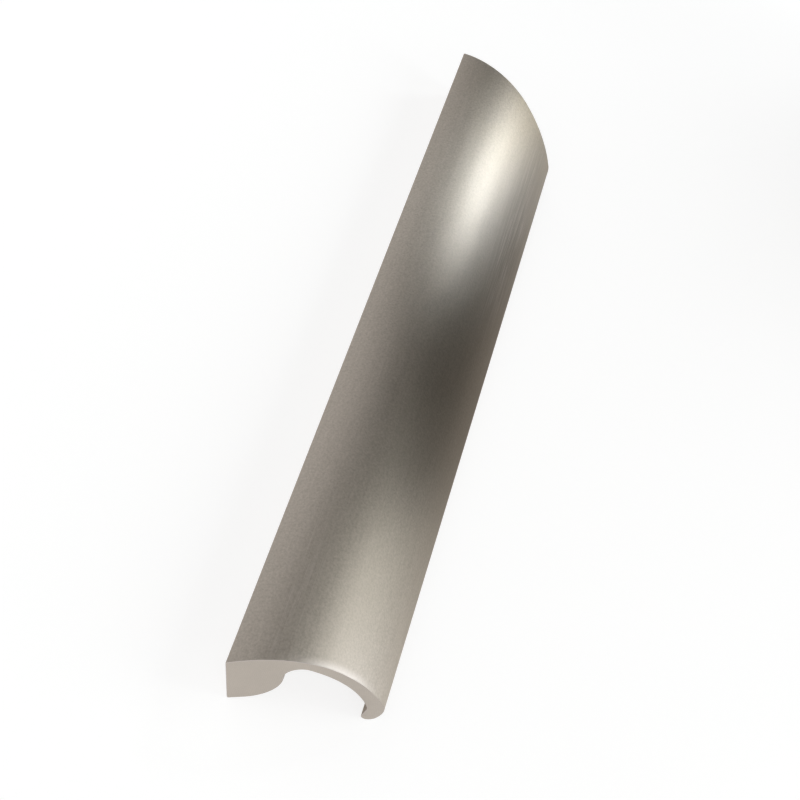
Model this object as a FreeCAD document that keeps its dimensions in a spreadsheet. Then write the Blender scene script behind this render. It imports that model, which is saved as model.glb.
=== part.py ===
"""Handleless finger pull profile: one length of extruded aluminium with mitred ends.

Body axes before it is laid down: X along the length, Y out from the mounting face to the lip, Z up.
The origin of the section is the top corner of the mounting face. All sizes are millimetres and degrees.
"""
import FreeCAD, Part
import math
import os

import Sketcher
from FreeCAD import Placement, Rotation, Vector

doc = FreeCAD.newDocument("finger_pull")

# Driving sizes
SIZES = [
    ("length", 200.0, "overall length, measured along the mounting face"),
    ("mitre_angle", 20.5, "how far each sawn end leans in from square, towards the lip"),
    ("face_height", 15.0, "height of the flat mounting face"),
    ("crown_rise_angle", 13.2, "climb of the crown where it leaves the mounting face"),
    ("crown_back_radius", 22.1, "outer crown, the half over the block"),
    ("crown_front_radius", 39.4, "outer crown, the flatter half that runs down to the lip"),
    ("crown_blend_angle", 44.4, "direction of the radius shared by the two crown arcs"),
    ("wall_thickness", 2.6, "thinnest part of the arched wall"),
    ("wall_angle", 40.4, "direction, from the crown's front centre, of that thinnest part"),
    ("inner_radius", 30.3, "underside of the arched wall, where the fingers lie"),
    ("block_depth", 10.7, "depth of the screw block, from the mounting face to the finger cavity"),
    ("block_radius", 7.6, "rounded lower corner of the screw block"),
    ("cavity_radius", 3.0, "round at the root of the finger cavity"),
    ("lip_drop", 28.6, "lowest point of the lip below the top of the mounting face"),
    ("lip_flank_radius", 5.2, "outer side of the lip"),
    ("lip_tip_radius", 1.8, "rolled tip of the lip"),
    ("lip_blend_angle", 44.0, "slope below level where the outer side hands over to the tip"),
    ("shelf_angle", 20.0, "lean of the gripping shelf behind the lip, from upright"),
    ("notch_radius", 0.6, "root of the gripping groove above the shelf"),
    ("back_edge_radius", 0.4, "broken long edges of the mounting face"),
    ("deburr_radius", 0.15, "edges of the sawn ends, brushed free of burrs"),
    ("screw_pitch", 160.0, "distance between the two screw holes"),
    ("screw_level", 7.5, "screw holes below the top of the mounting face"),
    ("tap_drill", 3.3, "drilled diameter for an M4 thread"),
    ("tap_depth", 8.5, "full-diameter depth of each screw hole, from the mounting face"),
    ("mouth_diameter", 4.3, "countersunk mouth of each screw hole"),
    ("mouth_angle", 90.0, "included angle of that countersink"),
    ("drill_point", 118.0, "included angle of the drill's point"),
    ("saw_allowance", 5.0, "stock beyond the finished end before it is mitred"),
]
sheet = doc.addObject("Spreadsheet::Sheet", "sizes")
for row, (alias, value, note) in enumerate(SIZES, start=1):
    sheet.set("A%d" % row, alias)
    sheet.set("B%d" % row, str(value))
    sheet.set("C%d" % row, note)
    sheet.setAlias("B%d" % row, alias)
doc.recompute()


def size(alias):
    """Value of one named cell of the sheet."""
    return float(getattr(sheet, alias))


def toward(centre, distance, degrees):
    """Point at a distance from a centre in a direction, in the section plane."""
    a = math.radians(degrees)
    return Vector(centre.x + distance * math.cos(a), centre.y + distance * math.sin(a), 0)


def heading(start, end):
    """Direction in degrees from one section point to another."""
    return math.degrees(math.atan2(end.y - start.y, end.x - start.x))


# Centres of the section's arcs, so that the sketch is drawn where its constraints hold it
R_back, R_front = size("crown_back_radius"), size("crown_front_radius")
R_inner, r_cavity, r_block = size("inner_radius"), size("cavity_radius"), size("block_radius")
r_flank, r_tip, r_notch = size("lip_flank_radius"), size("lip_tip_radius"), size("notch_radius")
top_corner = Vector(0, 0, 0)
foot_corner = Vector(0, -size("face_height"), 0)
back = toward(top_corner, R_back, size("crown_rise_angle") - 90)
front = toward(back, R_back - R_front, size("crown_blend_angle"))
inner = toward(front, R_front - size("wall_thickness") - R_inner, size("wall_angle"))

cavity_y = size("block_depth") + r_cavity
cavity = Vector(cavity_y, inner.y + math.sqrt((R_inner - r_cavity) ** 2 - (cavity_y - inner.x) ** 2), 0)
block_z = foot_corner.y + r_block
block = Vector(cavity.x - math.sqrt((r_block + r_cavity) ** 2 - (cavity.y - block_z) ** 2), block_z, 0)

tip_z = r_tip - size("lip_drop")
flank_z = tip_z + (r_flank - r_tip) * math.sin(math.radians(size("lip_blend_angle")))
flank = Vector(front.x + math.sqrt((R_front - r_flank) ** 2 - (flank_z - front.y) ** 2), flank_z, 0)
tip = toward(flank, r_flank - r_tip, -size("lip_blend_angle"))

# The groove's round touches the shelf and the inner arc: walk up the shelf's offset line to the offset arc
shelf_foot = toward(tip, r_tip, 180 - size("shelf_angle"))
along = toward(top_corner, 1, 90 - size("shelf_angle"))
offset_foot = toward(shelf_foot, r_notch, 180 - size("shelf_angle"))
reach = offset_foot - inner
half = reach.dot(along)
climb = -half + math.sqrt(half ** 2 - reach.dot(reach) + (R_inner - r_notch) ** 2)
notch = offset_foot + along * climb

body = doc.addObject("PartDesign::Body", "pull_profile")
body.Label = "pull_profile"


def origin_plane(role):
    """One of the body's own origin planes."""
    return next(f for f in body.Origin.OriginFeatures if f.Role == role)


def new_sketch(name, role):
    """Empty sketch on one of the body's origin planes."""
    sketch = body.newObject("Sketcher::SketchObject", name)
    sketch.AttachmentSupport = [(origin_plane(role), "")]
    sketch.MapMode = "FlatFace"
    return sketch


def drive(sketch, name, expression, *constraint):
    """Add one dimension and bind it to the sheet."""
    index = sketch.addConstraint(Sketcher.Constraint(*constraint))
    sketch.renameConstraint(index, name)
    sketch.setExpression("Constraints." + name, expression)


def arc(centre, radius, first, last):
    """Arc of a circle, counter-clockwise between two directions in degrees."""
    circle = Part.Circle(centre, Vector(0, 0, 1), radius)
    while last < first:
        last += 360
    return Part.ArcOfCircle(circle, math.radians(first), math.radians(last))


# Section of the extrusion: crown, lip, gripping groove, finger cavity, screw block, mounting face
section = new_sketch("section", "YZ_Plane")
blend, lean = size("crown_blend_angle"), size("shelf_angle")
front_end = heading(front, flank)
shelf_top = toward(notch, r_notch, -lean)
crown_back = section.addGeometry(arc(back, R_back, blend, heading(back, top_corner)))
crown_front = section.addGeometry(arc(front, R_front, front_end, blend))
lip_flank = section.addGeometry(arc(flank, r_flank, -size("lip_blend_angle"), front_end))
lip_tip = section.addGeometry(arc(tip, r_tip, 180 - lean, 360 - size("lip_blend_angle")))
shelf = section.addGeometry(Part.LineSegment(shelf_foot, shelf_top))
groove = section.addGeometry(arc(notch, r_notch, -lean, heading(inner, notch)))
arch = section.addGeometry(arc(inner, R_inner, heading(inner, notch), heading(inner, cavity)))
root = section.addGeometry(arc(cavity, r_cavity, heading(inner, cavity), heading(cavity, block)))
corner = section.addGeometry(arc(block, r_block, -90, heading(block, cavity)))
underside = section.addGeometry(Part.LineSegment(foot_corner, Vector(block.x, foot_corner.y, 0)))
mounting = section.addGeometry(Part.LineSegment(top_corner, foot_corner))
START, END, CENTRE = 1, 2, 3
for one, its_end, other, other_end in (
    (crown_back, START, crown_front, END),
    (crown_front, START, lip_flank, END),
    (lip_flank, START, lip_tip, END),
    (lip_tip, START, shelf, START),
    (shelf, END, groove, START),
    (groove, END, arch, START),
    (arch, END, root, START),
    (root, END, corner, END),
    (corner, START, underside, END),
):
    section.addConstraint(Sketcher.Constraint("Tangent", one, its_end, other, other_end))
section.addConstraint(Sketcher.Constraint("Coincident", underside, START, mounting, END))
section.addConstraint(Sketcher.Constraint("Coincident", mounting, START, crown_back, END))
section.addConstraint(Sketcher.Constraint("Coincident", mounting, START, -1, 1))
section.addConstraint(Sketcher.Constraint("Vertical", mounting))
section.addConstraint(Sketcher.Constraint("Horizontal", underside))
for name, part in (
    ("crown_back_radius", crown_back),
    ("crown_front_radius", crown_front),
    ("lip_flank_radius", lip_flank),
    ("lip_tip_radius", lip_tip),
    ("notch_radius", groove),
    ("inner_radius", arch),
    ("cavity_radius", root),
    ("block_radius", corner),
):
    drive(section, name, "sizes." + name, "Radius", part, size(name))
drive(section, "face_height", "sizes.face_height", "Distance", mounting, size("face_height"))
drive(section, "lip_level", "sizes.lip_drop - sizes.lip_tip_radius", "DistanceY",
      lip_tip, CENTRE, -1, 1, -tip.y)
drive(section, "cavity_reach", "sizes.block_depth + sizes.cavity_radius", "DistanceX",
      -1, 1, root, CENTRE, cavity.x)
drive(section, "shelf_rise", "90 deg - sizes.shelf_angle * 1 deg", "Angle", shelf, math.radians(90 - lean))


def direction_line(name, expression, start, end, degrees):
    """Construction line between two points of the outline, held at a driven direction."""
    geometry = [section.getPoint(*start), section.getPoint(*end)]
    line = section.addGeometry(Part.LineSegment(*geometry), True)
    section.addConstraint(Sketcher.Constraint("Coincident", line, START, *start))
    section.addConstraint(Sketcher.Constraint("Coincident", line, END, *end))
    drive(section, name, expression, "Angle", line, math.radians(degrees))


direction_line("crown_rise", "90 deg + sizes.crown_rise_angle * 1 deg",
               (crown_back, CENTRE), (crown_back, END), 90 + size("crown_rise_angle"))
direction_line("crown_blend", "sizes.crown_blend_angle * 1 deg",
               (crown_front, CENTRE), (crown_front, END), blend)
direction_line("lip_blend", "-sizes.lip_blend_angle * 1 deg",
               (lip_flank, CENTRE), (lip_flank, START), -size("lip_blend_angle"))

# Thinnest wall: a line square through both arcs, from the inner side to the outer
wall = section.addGeometry(Part.LineSegment(toward(inner, R_inner, size("wall_angle")),
                                            toward(front, R_front, size("wall_angle"))), True)
section.addConstraint(Sketcher.Constraint("PointOnObject", wall, START, arch))
section.addConstraint(Sketcher.Constraint("PointOnObject", wall, END, crown_front))
section.addConstraint(Sketcher.Constraint("PointOnObject", arch, CENTRE, wall))
section.addConstraint(Sketcher.Constraint("PointOnObject", crown_front, CENTRE, wall))
drive(section, "wall_thickness", "sizes.wall_thickness", "Distance", wall, size("wall_thickness"))
drive(section, "wall_direction", "sizes.wall_angle * 1 deg", "Angle", wall, math.radians(size("wall_angle")))
doc.recompute()

# Extruded bar, a little longer than the finished part
bar = body.newObject("PartDesign::Pad", "bar")
bar.Profile = section
bar.Midplane = True
bar.setExpression("Length", "sizes.length + 2 * sizes.saw_allowance")
doc.recompute()

# Both ends are sawn at the mitre, so that the lip is shorter than the mounting face
plan = new_sketch("mitre_plan", "XY_Plane")
half_length, run_out = size("length") / 2, size("saw_allowance")
slope = math.tan(math.radians(size("mitre_angle")))
deep = R_front + run_out
for side, label in ((1, "right"), (-1, "left")):
    far = half_length + 2 * run_out
    corners = [
        Vector(side * (half_length + run_out * slope), -run_out, 0),
        Vector(side * (half_length - deep * slope), deep, 0),
        Vector(side * far, deep, 0),
        Vector(side * far, -run_out, 0),
    ]
    lines = [plan.addGeometry(Part.LineSegment(corners[i], corners[(i + 1) % 4])) for i in range(4)]
    for i in range(4):
        plan.addConstraint(Sketcher.Constraint("Coincident", lines[i], END, lines[(i + 1) % 4], START))
    plan.addConstraint(Sketcher.Constraint("Horizontal", lines[1]))
    plan.addConstraint(Sketcher.Constraint("Vertical", lines[2]))
    plan.addConstraint(Sketcher.Constraint("Horizontal", lines[3]))
    end_point = plan.addGeometry(Part.Point(Vector(side * half_length, 0, 0)), True)
    plan.addConstraint(Sketcher.Constraint("PointOnObject", end_point, 1, -1))
    plan.addConstraint(Sketcher.Constraint("PointOnObject", end_point, 1, lines[0]))
    ends = (-1, 1, end_point, 1) if side > 0 else (end_point, 1, -1, 1)
    drive(plan, label + "_end", "sizes.length / 2", "DistanceX", *ends, half_length)
    drive(plan, label + "_mitre", "90 deg + %d * sizes.mitre_angle * 1 deg" % side, "Angle", lines[0],
          math.radians(90 + side * size("mitre_angle")))
    drive(plan, label + "_behind", "sizes.saw_allowance", "DistanceY", lines[0], START, -1, 1, run_out)
    drive(plan, label + "_beyond", "sizes.crown_front_radius + sizes.saw_allowance", "DistanceY", -1, 1,
          lines[0], END, deep)
    ends = (-1, 1, lines[2], START) if side > 0 else (lines[2], START, -1, 1)
    drive(plan, label + "_waste", "sizes.length / 2 + 2 * sizes.saw_allowance", "DistanceX", *ends, far)
doc.recompute()

mitres = body.newObject("PartDesign::Pocket", "mitres")
mitres.Profile = plan
mitres.Type = "ThroughAll"
mitres.Midplane = True
doc.recompute()

# Long edges of the mounting face are broken
CLOSE = 1e-4  # how near counts as on a face
edges = []
for index, edge in enumerate(mitres.Shape.Edges, start=1):
    if len(edge.Vertexes) == 2 and all(abs(v.Y) < CLOSE for v in edge.Vertexes):
        if abs(edge.Vertexes[0].Z - edge.Vertexes[1].Z) < CLOSE:
            edges.append("Edge%d" % index)
broken = body.newObject("PartDesign::Fillet", "broken_edges")
broken.Base = (mitres, edges)
broken.setExpression("Radius", "sizes.back_edge_radius")
doc.recompute()

# The sawn ends are deburred all round
edges = []
for index, rim in enumerate(broken.Shape.Edges, start=1):
    middle = rim.valueAt((rim.FirstParameter + rim.LastParameter) / 2)
    points = [v.Point for v in rim.Vertexes] + [middle]
    if all(abs(abs(p.x) + p.y * slope - half_length) < CLOSE for p in points):
        edges.append("Edge%d" % index)
deburred = body.newObject("PartDesign::Fillet", "deburred_ends")
deburred.Base = (broken, edges)
deburred.setExpression("Radius", "sizes.deburr_radius")
doc.recompute()

# Two blind tapped holes for the screws that come through the front
screws = new_sketch("screw_plan", "XZ_Plane")
tap_radius, half_pitch, level = size("tap_drill") / 2, size("screw_pitch") / 2, size("screw_level")
left, right = [
    screws.addGeometry(Part.Circle(Vector(side * half_pitch, -level, 0), Vector(0, 0, 1), tap_radius))
    for side in (-1, 1)
]
screws.addConstraint(Sketcher.Constraint("Equal", left, right))
screws.addConstraint(Sketcher.Constraint("Symmetric", left, CENTRE, right, CENTRE, -2))
drive(screws, "tap_drill", "sizes.tap_drill", "Diameter", left, size("tap_drill"))
drive(screws, "screw_pitch", "sizes.screw_pitch", "DistanceX", left, CENTRE, right, CENTRE, 2 * half_pitch)
drive(screws, "screw_level", "sizes.screw_level", "DistanceY", left, CENTRE, -1, 1, level)
doc.recompute()

solid_volume = body.Shape.Volume
holes = body.newObject("PartDesign::Hole", "screw_holes")
holes.Profile = screws
holes.ThreadType = "None"
holes.DepthType = "Dimension"
holes.DrillPoint = "Angled"
holes.HoleCutType = "Countersink"
holes.setExpression("Diameter", "sizes.tap_drill")
holes.setExpression("HoleCutDiameter", "sizes.mouth_diameter")
holes.setExpression("HoleCutCountersinkAngle", "sizes.mouth_angle * 1 deg")
holes.setExpression("Depth", "sizes.tap_depth")
holes.setExpression("DrillPointAngle", "sizes.drill_point * 1 deg")
doc.recompute()
body.Tip = holes
doc.recompute()
if body.Shape.Volume >= solid_volume:
    raise RuntimeError("the screw holes cut nothing")

# Laid arch up, the way it lies on a table: on its lower back edge and on the lip
r_edge = size("back_edge_radius")
edge = Vector(r_edge, foot_corner.y + r_edge, 0)
span = tip - edge
lie = math.degrees(math.asin((r_tip - r_edge) / span.Length)) - heading(edge, tip)
body.Placement = Placement(Vector(0, 0, 0), Rotation(Vector(1, 0, 0), lie))
doc.recompute()
box = body.Shape.optimalBoundingBox(False, False)
body.Placement = Placement(
    Vector(-(box.XMin + box.XMax) / 2, -(box.YMin + box.YMax) / 2, -box.ZMin), Rotation(Vector(1, 0, 0), lie))
doc.recompute()

for thing in doc.Objects:
    if "Invalid" in thing.State or "Error" in thing.State:
        raise RuntimeError("%s failed: %s" % (thing.Name, thing.State))
if not (section.FullyConstrained and plan.FullyConstrained and screws.FullyConstrained):
    raise RuntimeError("a sketch is not fully constrained")
if body.Shape.isNull() or not body.Shape.isValid() or len(body.Shape.Solids) != 1:
    raise RuntimeError("the profile is not one valid solid")

os.makedirs("parts", exist_ok=True)
body.Shape.exportStep("parts/%s.step" % body.Label)
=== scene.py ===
import cmath
import math

import bmesh
import bpy
from mathutils import Euler, Matrix, Vector


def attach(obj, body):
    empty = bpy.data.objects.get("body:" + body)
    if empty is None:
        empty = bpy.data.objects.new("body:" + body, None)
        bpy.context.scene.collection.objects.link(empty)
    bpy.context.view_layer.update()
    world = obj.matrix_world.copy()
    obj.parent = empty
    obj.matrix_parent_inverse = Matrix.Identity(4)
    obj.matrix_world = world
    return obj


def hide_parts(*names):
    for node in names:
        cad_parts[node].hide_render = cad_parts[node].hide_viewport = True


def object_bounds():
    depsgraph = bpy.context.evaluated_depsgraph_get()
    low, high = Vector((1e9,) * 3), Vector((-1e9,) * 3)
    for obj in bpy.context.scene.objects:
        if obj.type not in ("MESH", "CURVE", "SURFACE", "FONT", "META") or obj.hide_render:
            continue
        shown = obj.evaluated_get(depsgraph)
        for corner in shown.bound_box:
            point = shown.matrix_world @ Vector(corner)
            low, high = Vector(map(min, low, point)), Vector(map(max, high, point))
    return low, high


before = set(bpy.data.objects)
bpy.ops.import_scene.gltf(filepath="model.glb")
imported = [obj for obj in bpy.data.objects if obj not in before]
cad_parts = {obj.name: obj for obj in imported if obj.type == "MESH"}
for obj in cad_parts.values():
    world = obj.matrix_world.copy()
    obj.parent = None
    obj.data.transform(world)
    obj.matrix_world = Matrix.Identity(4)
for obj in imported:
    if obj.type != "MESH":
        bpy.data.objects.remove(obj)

cad_low, cad_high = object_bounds()


# Pull profile, its section
# One bar of extruded aluminium: a screw block behind, an arched wall over the fingers, a rolled lip in front.
# The die gives the section its tangent arcs, and the long back edges are broken by hand.
# A point of the section is a complex number: real out from the mounting face, imaginary up.
MM = 0.001
face_height = 15.0 * MM
crown_rise_angle = 13.2
crown_back_radius = 22.1 * MM
crown_front_radius = 39.4 * MM
crown_blend_angle = 44.4
wall_thickness = 2.6 * MM
wall_angle = 40.4
inner_radius = 30.3 * MM
block_depth = 10.7 * MM
block_radius = 7.6 * MM
cavity_radius = 3.0 * MM
lip_drop = 28.6 * MM
lip_flank_radius = 5.2 * MM
lip_tip_radius = 1.8 * MM
lip_blend_angle = 44.0
shelf_angle = 20.0
notch_radius = 0.6 * MM
back_edge_radius = 0.4 * MM


def toward(start, reach, degrees):
    return start + cmath.rect(reach, math.radians(degrees))


def heading(start, end):
    return math.degrees(cmath.phase(end - start))


def leg(long_side, short_side):
    return math.sqrt(long_side ** 2 - short_side ** 2)


# Centres of the arcs, each tangent to its neighbours
back = toward(0, crown_back_radius, crown_rise_angle - 90)
front = toward(back, crown_back_radius - crown_front_radius, crown_blend_angle)
inner = toward(front, crown_front_radius - wall_thickness - inner_radius, wall_angle)
cavity_out = block_depth + cavity_radius
cavity = complex(cavity_out, inner.imag + leg(inner_radius - cavity_radius, cavity_out - inner.real))
block_up = block_radius - face_height
block = complex(cavity.real - leg(block_radius + cavity_radius, cavity.imag - block_up), block_up)
tip_up = lip_tip_radius - lip_drop
flank_up = tip_up + (lip_flank_radius - lip_tip_radius) * math.sin(math.radians(lip_blend_angle))
flank = complex(front.real + leg(crown_front_radius - lip_flank_radius, flank_up - front.imag), flank_up)
tip = toward(flank, lip_flank_radius - lip_tip_radius, -lip_blend_angle)
shelf_foot = toward(tip, lip_tip_radius, 180 - shelf_angle)
shelf_way = toward(0, 1, 90 - shelf_angle)
notch_foot = toward(shelf_foot, notch_radius, 180 - shelf_angle)
reach = notch_foot - inner
reach_along = (reach * shelf_way.conjugate()).real
notch_run = math.sqrt(reach_along ** 2 - abs(reach) ** 2 + (inner_radius - notch_radius) ** 2) - reach_along
notch = notch_foot + notch_run * shelf_way
shelf_top = toward(notch, notch_radius, -shelf_angle)
edge_up = back.imag + leg(crown_back_radius - back_edge_radius, back_edge_radius - back.real)
upper_edge = complex(back_edge_radius, edge_up)
lower_edge = complex(back_edge_radius, back_edge_radius - face_height)

# Stations round the section, clockwise: point, outward direction, and how far the brushing reaches there
arc_sag = 0.0015 * MM
widest_step = 5.0
stations = []


def bend(centre, radius, start, end, hollow=False, brushed=(0, 0)):
    step = min(widest_step, math.degrees(2 * math.acos(1 - arc_sag / radius)))
    count = max(2, math.ceil(abs(end - start) / step))
    for k in range(count):
        way = cmath.rect(1, math.radians(start + (end - start) * k / count))
        share = brushed[0] + (brushed[1] - brushed[0]) * k / count
        stations.append((centre + radius * way, -way if hollow else way, share))


def flat(start, end):
    stations.append((start, 1j * (end - start) / abs(end - start), 0))


bend(upper_edge, back_edge_radius, 180, heading(back, upper_edge), brushed=(0, 1))
bend(back, crown_back_radius, heading(back, upper_edge), crown_blend_angle, brushed=(1, 1))
bend(front, crown_front_radius, crown_blend_angle, heading(front, flank), brushed=(1, 1))
bend(flank, lip_flank_radius, heading(front, flank), -lip_blend_angle, brushed=(1, 1))
bend(tip, lip_tip_radius, -lip_blend_angle, -180 - shelf_angle, brushed=(1, 0))
flat(shelf_foot, shelf_top)
bend(notch, notch_radius, -shelf_angle, heading(inner, notch), hollow=True)
bend(inner, inner_radius, heading(inner, notch), heading(inner, cavity), hollow=True)
bend(cavity, cavity_radius, heading(inner, cavity), heading(cavity, block) % 360, hollow=True)
bend(block, block_radius, heading(block, cavity), -90)
flat(complex(block.real, -face_height), complex(back_edge_radius, -face_height))
bend(lower_edge, back_edge_radius, -90, -180)
mounting_station = len(stations)
flat(complex(0, lower_edge.imag), complex(0, upper_edge.imag))

# The bar lies arch up, on its lower back edge and its lip, inside the box of the parts read from model.glb
span = tip - lower_edge
lie = cmath.rect(1, math.asin((lip_tip_radius - back_edge_radius) / abs(span)) - cmath.phase(span))
turned = [point * lie for point, _, _ in stations]
seat = complex(
    cad_low.y - min(point.real for point in turned),
    cad_low.z - min(point.imag for point in turned),
)


def in_row(x, point):
    laid = point * lie + seat
    return Vector((x, laid.real, laid.imag))


# Pull profile, its mesh
# The bar is sawn to a mitre at both ends, so its front is shorter than its back, and the burr is taken off.
# Two blind holes in the mounting face are tapped M4 and countersunk, for screws that come through the door.
bar_length = 200.0 * MM
mitre = math.radians(20.5)
deburr_radius = 0.15 * MM
deburr_steps = 4
length_steps = 40
screw_pitch = 160.0 * MM
screw_level = 7.5 * MM
tap_radius = 1.65 * MM
thread_radius = 2.0 * MM
thread_pitch = 0.7 * MM
thread_depth = 8.0 * MM
thread_crest_flat = 1 / 4
thread_root_flat = 1 / 8
tap_depth = 8.5 * MM
mouth_radius = 2.15 * MM
mouth_slope = math.tan(math.radians(90 / 2))
drill_slope = math.tan(math.radians(118 / 2))
bore_sides = 40
rings_per_pitch = 10

bar = bmesh.new()
brushed_layer = bar.verts.layers.float.new("brushed")
rim_layer = bar.verts.layers.float.new("rim")
from_end_layer = bar.verts.layers.float.new("from_end")
grain_map = bar.loops.layers.uv.new("grain")
SKIN, SAWN_END, BORE = range(3)


def end_of(side, point):
    return side * (bar_length / 2 - point.real * math.tan(mitre) - deburr_radius / math.cos(mitre))


def across_bar(point, out, brushed):
    """The row of vertices of one station, from the left end face over its rim to the right end face."""
    core = point - deburr_radius * out
    side_way = Vector((0, out.real, out.imag))
    places = {}
    for side in (-1, 1):
        end_way = Vector((side * math.cos(mitre), math.sin(mitre), 0))
        rounded = []
        for k in range(deburr_steps + 1):
            way = deburr_radius * end_way.slerp(side_way, k / deburr_steps)
            rounded.append((end_of(side, core) + way.x, core + complex(way.y, way.z), 1 - k / deburr_steps))
        places[side] = rounded
    left, right = end_of(-1, core), end_of(1, core)
    middle = [(left + (right - left) * k / length_steps, point, 0) for k in range(1, length_steps)]
    row = []
    for x, place, rim in places[-1] + middle + places[1][::-1]:
        vertex = bar.verts.new(in_row(x, place))
        vertex[brushed_layer] = brushed
        vertex[rim_layer] = rim
        vertex[from_end_layer] = min(x - left, right - x)
        row.append(vertex)
    return row


def add_face(corners, grain, material):
    face = bar.faces.new(corners)
    face.smooth = True
    face.material_index = material
    for loop, place in zip(face.loops, grain):
        loop[grain_map].uv = place


rows = [across_bar(*station) for station in stations]
walked = [0.0]
for here, following in zip(stations, stations[1:] + stations[:1]):
    walked.append(walked[-1] + abs(following[0] - here[0]))
for i, row in enumerate(rows):
    next_row = rows[(i + 1) % len(rows)]
    for j in range(len(row) - 1):
        on_side = deburr_steps <= j < len(row) - 1 - deburr_steps
        if i == mounting_station and on_side:
            continue
        corners = (row[j], row[j + 1], next_row[j + 1], next_row[j])
        places = (walked[i], walked[i], walked[i + 1], walked[i + 1])
        add_face(corners, [(place, vertex.co.x) for place, vertex in zip(places, corners)], SKIN)


def bore_radius(depth, turn):
    """Radius of a tapped hole: countersunk mouth, truncated sixty-degree thread, thread run-out."""
    wave = 1 - abs(2 * ((depth / thread_pitch - turn) % 1) - 1)
    flank_share = (wave - thread_crest_flat) / (1 - thread_crest_flat - thread_root_flat)
    flank_share = min(1, max(0, flank_share))
    run_out = min(1, max(0, (thread_depth - depth) / thread_pitch))
    tapped = tap_radius + (thread_radius - tap_radius) * flank_share * run_out
    return max(tapped, mouth_radius - mouth_slope * depth)


def drill_bore(centre_x):
    def place(depth, radius, turn):
        spoke = cmath.rect(radius, 2 * math.pi * turn)
        return in_row(centre_x + spoke.real, complex(depth, spoke.imag - screw_level))

    turns = [k / bore_sides for k in range(bore_sides)]
    steps = round(tap_depth / thread_pitch * rings_per_pitch)
    depths = [tap_depth * k / steps for k in range(steps + 1)]
    rings = [[bar.verts.new(place(d, bore_radius(d, t), t)) for t in turns] for d in depths]
    point = bar.verts.new(place(tap_depth + tap_radius / drill_slope, 0, 0))
    for k in range(bore_sides):
        following = (k + 1) % bore_sides
        for ring, deeper in zip(rings, rings[1:]):
            corners = (ring[k], ring[following], deeper[following], deeper[k])
            add_face(corners, [(vertex.co.x, vertex.co.y) for vertex in corners], BORE)
        corners = (rings[-1][k], rings[-1][following], point)
        add_face(corners, [(vertex.co.x, vertex.co.y) for vertex in corners], BORE)


for side in (-1, 1):
    drill_bore(side * screw_pitch / 2)


# The flat faces close the mesh: both sawn ends, then the mounting face round the mouths of its holes.
# Filling needs edges of a fair size, so it is done in millimetres.
def fill_flat(edges, out, material):
    made = bmesh.ops.triangle_fill(bar, use_beauty=True, edges=edges, normal=out)
    for face in made["geom"]:
        if isinstance(face, bmesh.types.BMFace):
            face.smooth = True
            face.material_index = material
            for loop in face.loops:
                loop[grain_map].uv = (MM * loop.vert.co.z, MM * loop.vert.co.x)


bar.transform(Matrix.Scale(1 / MM, 4))
for end in (0, -1):
    ring = [row[end] for row in rows]
    rim_edges = [bar.edges.get(pair) for pair in zip(ring, ring[1:] + ring[:1])]
    fill_flat(rim_edges, Vector((2 * end + 1, 0, 0)), SAWN_END)
mounting_way = in_row(0, -1) - in_row(0, 0)
fill_flat([edge for edge in bar.edges if edge.is_boundary], mounting_way, SKIN)
bar.transform(Matrix.Scale(MM, 4))
bmesh.ops.recalc_face_normals(bar, faces=bar.faces)

sharp_angle = math.radians(32)
bar_mesh = bpy.data.meshes.new("pull_profile_bar")
bar.to_mesh(bar_mesh)
bar.free()
bar_mesh.set_sharp_from_angle(angle=sharp_angle)
pull_profile = bpy.data.objects.new("pull_profile_bar", bar_mesh)
bpy.context.scene.collection.objects.link(pull_profile)
even_shading = pull_profile.modifiers.new("even_shading", "WEIGHTED_NORMAL")
even_shading.keep_sharp = True
even_shading.weight = 90
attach(pull_profile, "root")
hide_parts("pull_profile")


# Pull profile, its finish
# The outside is brushed along its length and anodised a warm nickel tone, with a satin grain under the lines.
# It is scratched on one flank and, more lightly, near the other end, and its colour is darkened in those
# patches as painted shade. A painted highlight lightens the crown by its near end, and the deburred rims are
# bare metal, painted lighter as a highlight line. Inside, where no brush reaches, the lines of the die show.
# The sawn ends are matt, and the tapped holes are bare metal.
nickel_dark = (0.405, 0.359, 0.312, 1)
nickel_light = (0.535, 0.480, 0.425, 1)
# The deburred rims: bare metal, painted lighter as a highlight line
bare_rim_and_highlight = (0.640, 0.585, 0.556, 1)
# The light colour of the scratches, and of the painted highlight by the near end
scratch_and_highlight_metal = (0.760, 0.697, 0.659, 1)
# Painted shade: the darker colour of the metal in the scratched patches
painted_shade_dark = (0.340, 0.297, 0.254, 1)
end_dark = (0.477, 0.430, 0.380, 1)
end_metal = (0.530, 0.478, 0.422, 1)
bare_dark = (0.544, 0.527, 0.502, 1)
bare_metal = (0.640, 0.620, 0.590, 1)
edge_tint = (0.455, 0.405, 0.353, 1)
# Where hands and cloths have scratched the metal, its colour also darkened there as painted shade: centre,
# reach and strength of each patch
scratch_and_shade_patches = (
    ((-0.050, 0.0125, 0.0115), (0.048, 0.0105, 0.0105), 1.0),
    ((0.080, -0.012, 0.018), (0.035, 0.005, 0.005), 0.3),
)
# A painted highlight on the crown by the near end: centre, reach and strength of its patch
end_highlight_patch = ((0.094, 0.002, 0.016), (0.030, 0.014, 0.014), 1.0)
end_highlight_width = 1.8 * MM
patch_core = 0.3
painted_shade_share = 0.75
scratch_share = 0.6
end_highlight_share = 0.75
skin_grain = 0.50 * MM
end_grain = 0.25 * MM
bore_grain = 0.12 * MM
brush_depth = 0.03 * MM
saw_depth = 0.02 * MM
saw_fineness = 900
saw_shift = (0, 0.09, 0.05)
brushed_roughness = (0.30, 0.38)
drawn_roughness = (0.36, 0.46)
sawn_roughness = (0.50, 0.58)
bore_roughness = (0.22, 0.34)


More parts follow.
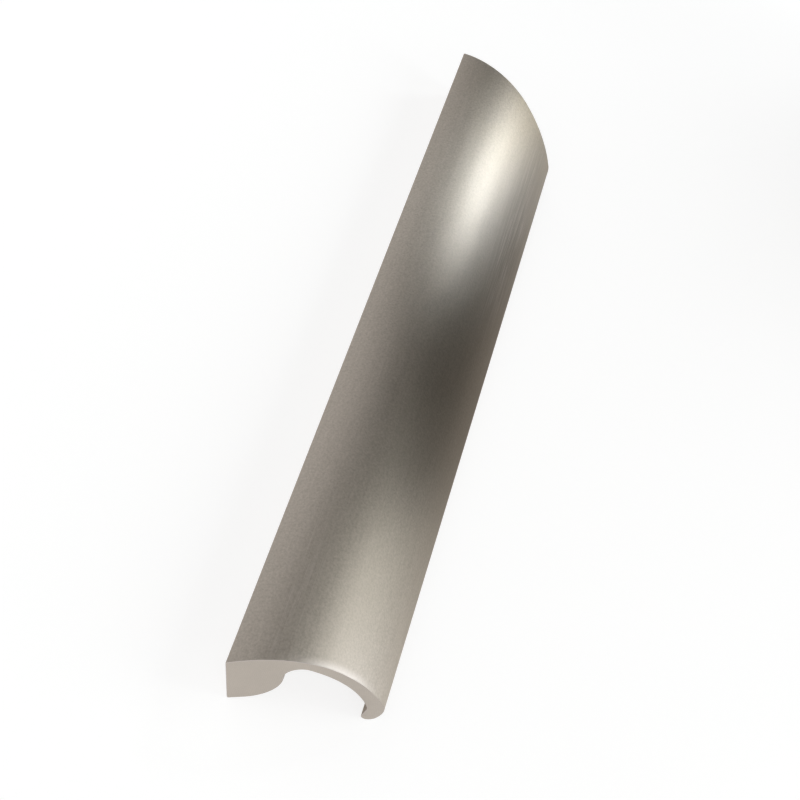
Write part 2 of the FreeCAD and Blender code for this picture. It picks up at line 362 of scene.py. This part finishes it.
def fill_socket(tree, socket, value):
    if isinstance(value, bpy.types.NodeSocket):
        tree.links.new(value, socket)
    else:
        socket.default_value = value


def place_node(tree, kind, settings=None, **sockets):
    """Adds a shader node. A socket takes a value or another node's output."""
    made = tree.nodes.new("ShaderNode" + kind)
    for name, value in (settings or {}).items():
        setattr(made, name, value)
    for name, value in sockets.items():
        fill_socket(tree, made.inputs[name.replace("_", " ")], value)
    return made


def reckon(tree, operation, *terms):
    """A sum on numbers that change over the surface."""
    made = tree.nodes.new("ShaderNodeMath")
    made.operation = operation
    for socket, term in zip(made.inputs, terms):
        fill_socket(tree, socket, term)
    return made.outputs["Value"]


def between(tree, share, first, second):
    """A colour between two, by a share that changes over the surface."""
    made = tree.nodes.new("ShaderNodeMix")
    made.data_type = "RGBA"
    for index, value in ((0, share), (6, first), (7, second)):
        fill_socket(tree, made.inputs[index], value)
    return made.outputs[2]


def stretch(tree, value, low, high, to_low, to_high):
    """Spreads the part of a value between low and high over a new range."""
    made = place_node(
        tree, "MapRange", Value=value,
        From_Min=low, From_Max=high, To_Min=to_low, To_Max=to_high,
    )
    return made.outputs["Result"]


def weighted(tree, *terms):
    """The sum of some values, each times its own weight."""
    total = 0
    for value, weight in terms:
        total = reckon(tree, "MULTIPLY_ADD", value, weight, total)
    return total


def soft_patch(tree, centre, reach, strength):
    """An oval patch: full strength in its core, fading to nothing at its reach."""
    place = place_node(tree, "TexCoord").outputs["Object"]
    settings = {"vector_type": "TEXTURE"}
    moved = place_node(tree, "Mapping", settings, Vector=place, Location=centre, Scale=reach)
    away = place_node(tree, "VectorMath", {"operation": "LENGTH"}, Vector=moved.outputs["Vector"])
    return stretch(tree, away.outputs["Value"], patch_core, 1, strength, 0)


def new_group(name, inputs, outputs):
    tree = bpy.data.node_groups.new(name, "ShaderNodeTree")
    for socket in inputs:
        tree.interface.new_socket(socket, in_out="INPUT", socket_type="NodeSocketFloat")
    for socket in outputs:
        tree.interface.new_socket(socket, in_out="OUTPUT", socket_type="NodeSocketFloat")
    return tree, tree.nodes.new("NodeGroupInput").outputs, tree.nodes.new("NodeGroupOutput").inputs


def use_group(tree, group, **sockets):
    made = tree.nodes.new("ShaderNodeGroup")
    made.node_tree = group
    for name, value in sockets.items():
        fill_socket(tree, made.inputs[name.replace("_", " ")], value)
    return made.outputs


# Lines that run along the bar, as a brush or a die leaves them, and the few deeper ones among them
deep_from = 0.52
deep_full = 0.61
lengthwise_lines, given, put_out = new_group("lengthwise_lines", ("Width", "Length"), ("Lines", "Deep Lines"))
place = place_node(lengthwise_lines, "TexCoord").outputs["Object"]
finer = reckon(lengthwise_lines, "DIVIDE", 1, given["Width"])
longer = reckon(lengthwise_lines, "DIVIDE", 1, given["Length"])
squeezed = place_node(lengthwise_lines, "CombineXYZ", X=longer, Y=finer, Z=finer)
drawn_out = place_node(lengthwise_lines, "VectorMath", {"operation": "MULTIPLY"})
fill_socket(lengthwise_lines, drawn_out.inputs[0], place)
fill_socket(lengthwise_lines, drawn_out.inputs[1], squeezed.outputs["Vector"])
lines = place_node(
    lengthwise_lines, "TexNoise",
    Vector=drawn_out.outputs["Vector"], Scale=1, Detail=3, Roughness=0.65,
)
fill_socket(lengthwise_lines, put_out["Lines"], lines.outputs[0])
sparse = stretch(lengthwise_lines, lines.outputs[0], deep_from, deep_full, 0, 1)
fill_socket(lengthwise_lines, put_out["Deep Lines"], sparse)

# A fine grain without direction, as etching and anodising leave it, and broad patches of tone
mottle_fineness = 90
satin_grain, given, put_out = new_group("satin_grain", ("Size",), ("Grain", "Mottle"))
place = place_node(satin_grain, "TexCoord").outputs["Object"]
fineness = reckon(satin_grain, "DIVIDE", 1, given["Size"])
specks = place_node(satin_grain, "TexNoise", Vector=place, Scale=fineness, Detail=2, Roughness=0.6)
patches = place_node(satin_grain, "TexNoise", Vector=place, Scale=mottle_fineness, Detail=3, Roughness=0.55)
fill_socket(satin_grain, put_out["Grain"], specks.outputs[0])
fill_socket(satin_grain, put_out["Mottle"], patches.outputs[0])


def new_finish(name):
    made = bpy.data.materials.new(name)
    made.use_nodes = True
    return made, made.node_tree, made.node_tree.nodes["Principled BSDF"]


brushed_nickel, tree, skin = new_finish("brushed_nickel")
brushed = place_node(tree, "Attribute", {"attribute_name": "brushed"}).outputs["Fac"]
rim = place_node(tree, "Attribute", {"attribute_name": "rim"}).outputs["Fac"]
fine = use_group(tree, lengthwise_lines, Width=0.16 * MM, Length=9 * MM)
broad = use_group(tree, lengthwise_lines, Width=1.1 * MM, Length=45 * MM)
scratched = use_group(tree, lengthwise_lines, Width=0.24 * MM, Length=20 * MM)
grain = use_group(tree, satin_grain, Size=skin_grain)
scratch_and_shade_mask = reckon(tree, "MAXIMUM", *(soft_patch(tree, *patch) for patch in scratch_and_shade_patches))
scratch = reckon(tree, "MULTIPLY", scratched["Deep Lines"], scratch_and_shade_mask)
tone = weighted(tree, (fine["Lines"], 0.25), (broad["Lines"], 0.15), (grain["Grain"], 0.75))
satin = between(tree, stretch(tree, tone, 0.41, 0.74, 0, 1), nickel_dark, nickel_light)
# Painted shade: the metal in the scratched patches is darkened, standing in for a darker reflection
satin = between(tree, reckon(tree, "MULTIPLY", scratch_and_shade_mask, painted_shade_share), satin, painted_shade_dark)
satin = between(tree, reckon(tree, "MULTIPLY", scratch, scratch_share), satin, scratch_and_highlight_metal)
# Painted highlight: a band of the crown along the near end is lightened
from_end = place_node(tree, "Attribute", {"attribute_name": "from_end"}).outputs["Fac"]
highlight_by_end = stretch(tree, from_end, 0, end_highlight_width, end_highlight_share, 0)
painted_end_highlight = reckon(tree, "MULTIPLY", highlight_by_end, soft_patch(tree, *end_highlight_patch))
satin = between(tree, painted_end_highlight, satin, scratch_and_highlight_metal)
# The rims are bare metal, painted lighter still as a highlight line along the ends
fill_socket(tree, skin.inputs["Base Color"], between(tree, rim, satin, bare_rim_and_highlight))
brushed_rough = stretch(tree, tone, 0.35, 0.80, *brushed_roughness)
drawn_rough = stretch(tree, broad["Lines"], 0.3, 0.7, *drawn_roughness)
worked = place_node(tree, "Mix", {"data_type": "FLOAT"}, Factor=brushed)
fill_socket(tree, worked.inputs[2], drawn_rough)
fill_socket(tree, worked.inputs[3], brushed_rough)
fill_socket(tree, skin.inputs["Roughness"], worked.outputs[0])
rub_relief = reckon(tree, "MULTIPLY", scratched["Lines"], scratch_and_shade_mask)
relief = weighted(
    tree, (fine["Lines"], 0.25), (broad["Lines"], 1.0), (grain["Grain"], 0.35), (rub_relief, 1.3),
)
bumps = place_node(tree, "Bump", Strength=1.0, Distance=brush_depth, Height=relief)
fill_socket(tree, skin.inputs["Normal"], bumps.outputs["Normal"])
way_across = place_node(tree, "Tangent", {"direction_type": "UV_MAP", "uv_map": "grain"})
fill_socket(tree, skin.inputs["Tangent"], way_across.outputs["Tangent"])
skin.inputs["Metallic"].default_value = 1
skin.inputs["Anisotropic"].default_value = 1.0
skin.inputs["Specular Tint"].default_value = edge_tint

sawn_end, tree, end_face = new_finish("sawn_end")
place = place_node(tree, "TexCoord").outputs["Object"]
grain = use_group(tree, satin_grain, Size=end_grain)
moved = place_node(tree, "Mapping", Vector=place, Location=saw_shift)
saw_marks = place_node(
    tree, "TexWave", {"wave_type": "RINGS", "rings_direction": "X"},
    Vector=moved.outputs["Vector"], Scale=saw_fineness, Distortion=1.5, Detail=2, Detail_Scale=1.5,
)
tone = weighted(tree, (grain["Grain"], 0.5), (grain["Mottle"], 0.5))
matt = between(tree, stretch(tree, tone, 0.35, 0.65, 0, 1), end_dark, end_metal)
fill_socket(tree, end_face.inputs["Base Color"], matt)
sawn_rough = stretch(tree, saw_marks.outputs[0], 0, 1, *sawn_roughness)
fill_socket(tree, end_face.inputs["Roughness"], sawn_rough)
relief = weighted(tree, (saw_marks.outputs[0], 0.3), (grain["Grain"], 1.0))
bumps = place_node(tree, "Bump", Strength=0.25, Distance=saw_depth, Height=relief)
fill_socket(tree, end_face.inputs["Normal"], bumps.outputs["Normal"])
end_face.inputs["Metallic"].default_value = 1

tapped_bore, tree, cut = new_finish("tapped_bore")
grain = use_group(tree, satin_grain, Size=bore_grain)
chatter = between(tree, stretch(tree, grain["Grain"], 0.3, 0.7, 0, 1), bare_dark, bare_metal)
fill_socket(tree, cut.inputs["Base Color"], chatter)
bore_rough = stretch(tree, grain["Grain"], 0.3, 0.7, *bore_roughness)
fill_socket(tree, cut.inputs["Roughness"], bore_rough)
cut.inputs["Metallic"].default_value = 1

for finish in (brushed_nickel, sawn_end, tapped_bore):
    pull_profile.data.materials.append(finish)


# Floor and light
# A sheet of white paper lies under the bar, in a white tent. The brushed crown mirrors four soft panels with
# black backs, and four dark screens, which give it its dark middle and leave the way along the bar open.
scene = bpy.context.scene
floor_radius = 6.0
paper_white = (0.82, 0.82, 0.82, 1)
paper_shaded = (0.30, 0.30, 0.30, 1)
paper_glow = 0.79
tent_white = (1, 1, 1, 1)
tent_brightness = 0.9
cloth_black = (0.035, 0.028, 0.012, 1)
panel_depth = 0.005
floor_shape = bmesh.new()
bmesh.ops.create_circle(floor_shape, cap_ends=True, radius=floor_radius, segments=96)
floor_mesh = bpy.data.meshes.new("floor")
floor_shape.to_mesh(floor_mesh)
floor_shape.free()
floor = bpy.data.objects.new("floor", floor_mesh)
scene.collection.objects.link(floor)
paper, tree, _ = new_finish("paper")
tree.nodes.clear()
out = tree.nodes.new("ShaderNodeOutputMaterial")
rays = place_node(tree, "LightPath").outputs
seen = reckon(tree, "MAXIMUM", rays["Is Camera Ray"], rays["Is Glossy Ray"])
seen = reckon(tree, "MAXIMUM", seen, rays["Is Transmission Ray"])
sheet = place_node(tree, "BsdfDiffuse", Color=paper_white)
shaded = place_node(tree, "BsdfDiffuse", Color=paper_shaded)
glow = place_node(tree, "Emission", Color=(1, 1, 1, 1), Strength=paper_glow)
white = tree.nodes.new("ShaderNodeAddShader")
tree.links.new(shaded.outputs[0], white.inputs[0])
tree.links.new(glow.outputs[0], white.inputs[1])
either = place_node(tree, "MixShader", Fac=seen)
tree.links.new(sheet.outputs[0], either.inputs[1])
tree.links.new(white.outputs[0], either.inputs[2])
behind = place_node(tree, "NewGeometry").outputs["Backfacing"]
one_sided = place_node(tree, "MixShader", Fac=behind)
tree.links.new(either.outputs[0], one_sided.inputs[1])
tree.links.new(tree.nodes.new("ShaderNodeBsdfTransparent").outputs[0], one_sided.inputs[2])
tree.links.new(one_sided.outputs[0], out.inputs["Surface"])
floor_mesh.materials.append(paper)

scene.world = bpy.data.worlds.new("tent")
scene.world.use_nodes = True
tent = scene.world.node_tree.nodes["Background"]
tent.inputs["Color"].default_value = tent_white
tent.inputs["Strength"].default_value = tent_brightness


def facing_bar(azimuth, elevation, distance, roll):
    """Where a panel stands that faces the bar, turned by roll in its own plane."""
    azimuth, elevation, roll = (math.radians(angle) for angle in (azimuth, elevation, roll))
    away = Vector((
        math.cos(elevation) * math.cos(azimuth),
        math.cos(elevation) * math.sin(azimuth),
        math.sin(elevation),
    ))
    side = Vector((-math.sin(azimuth), math.cos(azimuth), 0))
    stand = Matrix((side, away.cross(side), away)).transposed().to_4x4()
    return Matrix.Translation(away * distance) @ stand @ Matrix.Rotation(roll, 4, "Z")


black_cloth, tree, cloth = new_finish("black_cloth")
cloth.inputs["Base Color"].default_value = cloth_black
cloth.inputs["Roughness"].default_value = 1
cloth.inputs["Specular IOR Level"].default_value = 0


def dark_screen(name, stand, width, height):
    shape = bmesh.new()
    bmesh.ops.create_grid(shape, x_segments=1, y_segments=1, size=0.5)
    mesh = bpy.data.meshes.new(name)
    shape.to_mesh(mesh)
    shape.free()
    mesh.materials.append(black_cloth)
    made = bpy.data.objects.new(name, mesh)
    made.matrix_world = stand @ Matrix.Diagonal((width, height, 1, 1))
    made.visible_camera = False
    scene.collection.objects.link(made)


def soft_panel(name, stand, width, height, brightness, colour):
    panel = bpy.data.lights.new(name, "AREA")
    panel.shape = "RECTANGLE"
    panel.size, panel.size_y = width, height
    panel.color = colour
    panel.energy = math.pi * width * height * brightness
    made = bpy.data.objects.new(name, panel)
    made.matrix_world = stand
    scene.collection.objects.link(made)
    dark_screen(name + "_back", stand @ Matrix.Translation((0, 0, panel_depth)), width, height)


# Azimuth, elevation, distance and roll of each, its width and height, then a panel's brightness and colour
soft_panel("bright_strip", facing_bar(148.6, 31.4, 1.30, 39.0), 0.625, 0.127, 13.7, (0.93, 1.025, 1.10))
soft_panel("wide_strip", facing_bar(142.6, 17.9, 1.32, 55.9), 1.617, 0.098, 3.8, (1.06, 1.005, 0.73))
soft_panel("side_panel", facing_bar(109.0, 34.5, 1.30, -31.0), 0.798, 1.202, 2.30, (0.98, 1.02, 0.99))
soft_panel("end_panel", facing_bar(112.0, 25.0, 1.24, 0.0), 0.160, 0.280, 4.2, (0.96, 1.03, 1.15))
dark_screen("side_screen", facing_bar(135.0, 8.7, 1.60, 1.6), 1.289, 1.800)
dark_screen("upper_screen", facing_bar(167.3, 39.7, 1.64, -2.2), 2.414, 0.743)
dark_screen("overhead_screen", facing_bar(129.0, 77.8, 1.60, 0.0), 2.438, 1.835)
dark_screen("low_card", facing_bar(134.3, 8.0, 0.30, -6.3), 0.167, 0.435)


# Camera
# It looks down along the bar from beyond the near end, rolled so that the bar stands up in the picture.
camera = bpy.data.objects.new("camera", bpy.data.cameras.new("camera"))
camera.data.sensor_width = 36
camera.data.lens = 63.295
camera.data.clip_start = 0.01
camera.location = (0.221045, -0.087704, 0.257220)
camera.rotation_euler = Euler([math.radians(angle) for angle in (30.515, -29.978, 107.505)])
scene.collection.objects.link(camera)
scene.camera = camera
scene.view_settings.view_transform = "Standard"
